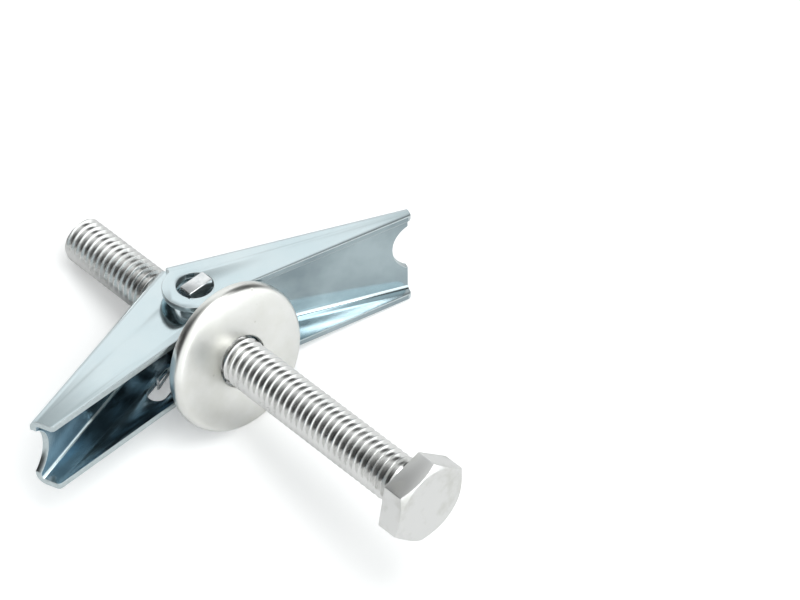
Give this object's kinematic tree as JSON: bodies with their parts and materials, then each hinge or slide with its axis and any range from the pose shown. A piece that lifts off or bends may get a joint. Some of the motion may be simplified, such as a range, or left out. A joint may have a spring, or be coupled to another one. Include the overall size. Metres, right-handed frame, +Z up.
{
  "type": "spring toggle bolt",
  "caption": "Spring toggle bolt: two folded sheet wings on a trunnion nut, run on a hexagon head bolt with a deep pressed washer that leans on the bolt.",
  "frame": {"origin": "on the surface the toggle lies on, under the middle of its bounding box", "axes": "+Z up from that surface; +Y runs along the bolt to its threaded tip, dipped 12.3 degrees, so the head is at -Y; +X points to the outer wing. The wings' hinge axis leans 13.5 degrees from +Z, as it does when the toggle lies on its washer's rim, the bolt's tip and the outer wing's lower corner."},
  "size_m": [0.0751, 0.0844, 0.029],
  "materials": {
    "bolt_zinc": "bright neutral zinc plate",
    "washer_zinc": "warm satin zinc plate",
    "nut_zinc": "bright zinc plate",
    "spring_wire": "drawn spring wire",
    "wing_zinc": "mirror-like blue-white passivated zinc sheet"
  },
  "bodies": {
    "nut": {"trunnion_nut": "nut_zinc", "torsion_spring": "spring_wire"},
    "bolt": {"hex_bolt": "bolt_zinc"},
    "outer_wing": {"outer_wing": "wing_zinc"},
    "inner_wing": {"inner_wing": "wing_zinc"},
    "washer": {"washer": "washer_zinc"}
  },
  "joints": [
    {"name": "outer_wing_fold", "type": "hinge", "parent": "nut", "child": "outer_wing", "pos_m": [-0.00089, 0.01209, 0.01022], "axis": [-0.0922, -0.2143, -0.9724], "range_deg": [0, 67], "stiffness_Nm_per_rad": 0.03, "springref_deg": -28.65, "deforming": ["torsion_spring"]},
    {"name": "inner_wing_fold", "type": "hinge", "parent": "nut", "child": "inner_wing", "pos_m": [-0.00089, 0.01209, 0.01022], "axis": [0.0922, 0.2143, 0.9724], "range_deg": [0, 70.55]},
    {"name": "washer_slide", "type": "slide", "parent": "nut", "child": "washer", "axis": [0.0202, -0.9768, 0.2133], "range_m": [0, 0.0359]},
    {"name": "bolt_turn", "type": "hinge", "parent": "nut", "child": "bolt", "pos_m": [-0.00089, 0.01209, 0.01022], "axis": [-0.0202, 0.9768, -0.2133], "continuous": true}
  ],
  "couplings": [
    {"joint": "inner_wing_fold", "follows": "outer_wing_fold", "ratio": 1.05},
    {"joint": "washer_slide", "follows": "outer_wing_fold", "m_per_rad": 0.0305}
  ]
}
